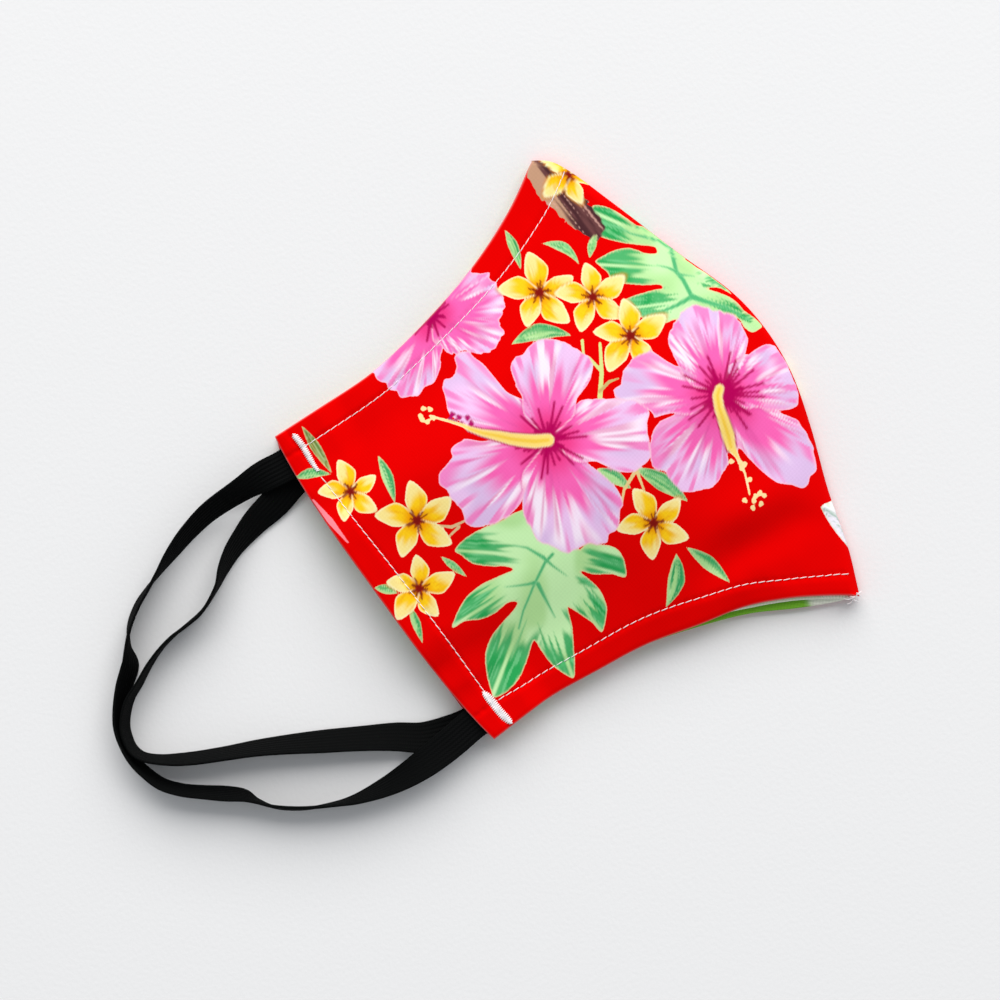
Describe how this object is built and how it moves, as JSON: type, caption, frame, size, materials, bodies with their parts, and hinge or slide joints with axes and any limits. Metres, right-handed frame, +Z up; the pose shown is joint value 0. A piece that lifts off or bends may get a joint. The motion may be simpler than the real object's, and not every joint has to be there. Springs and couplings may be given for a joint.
{
  "type": "cloth face mask",
  "caption": "Lined cloth face mask with a centre seam and a flat elastic ear loop on each half, folded flat on its seam and lying on its side.",
  "frame": {"origin": "on the surface that the mask lies on, half its depth from the ear edge and level with the middle of that edge", "axes": "+X from the ear edge to the centre seam, which is forwards when worn; +Y towards the nose end; +Z up as it lies, through its thickness"},
  "size_m": [0.192, 0.1368, 0.0158],
  "materials": {
    "outer_cotton": "matt printed cotton",
    "lining_cotton": "matt printed cotton",
    "elastic": "matt ribbed elastic",
    "thread": "satin sewing thread"
  },
  "bodies": {
    "root": {"outer_near": "outer_cotton", "outer_far": "outer_cotton", "lining_near": "lining_cotton", "lining_far": "lining_cotton", "ear_loop_near": "elastic", "ear_loop_far": "elastic"}
  },
  "joints": []
}
